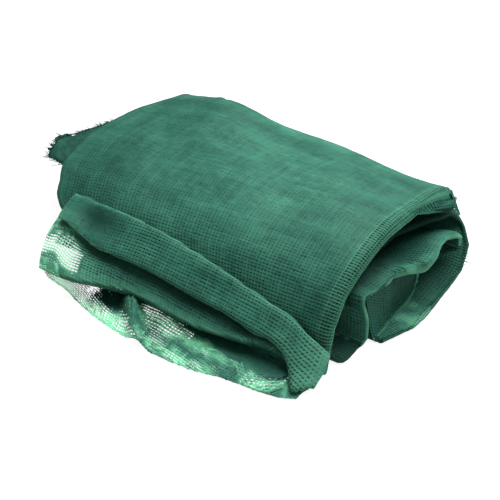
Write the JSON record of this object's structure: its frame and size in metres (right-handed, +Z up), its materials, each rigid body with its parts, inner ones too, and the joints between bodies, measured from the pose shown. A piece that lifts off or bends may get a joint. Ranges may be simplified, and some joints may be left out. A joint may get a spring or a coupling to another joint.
{
  "type": "folded harvest net",
  "caption": "Green knitted net for catching falling olives, folded into a loose flat pack that lies on the floor, its outer end turned over as a flap in front.",
  "frame": {"origin": "middle of the pack's box, on the floor it lies on", "axes": "+X along the pack to the end whose folds show, +Y from the flap to the back, +Z up"},
  "size_m": [0.5086, 0.3466, 0.1175],
  "materials": {
    "net_green": "satin knitted polyethylene tape"
  },
  "bodies": {
    "root": {"net": "net_green"}
  },
  "joints": []
}
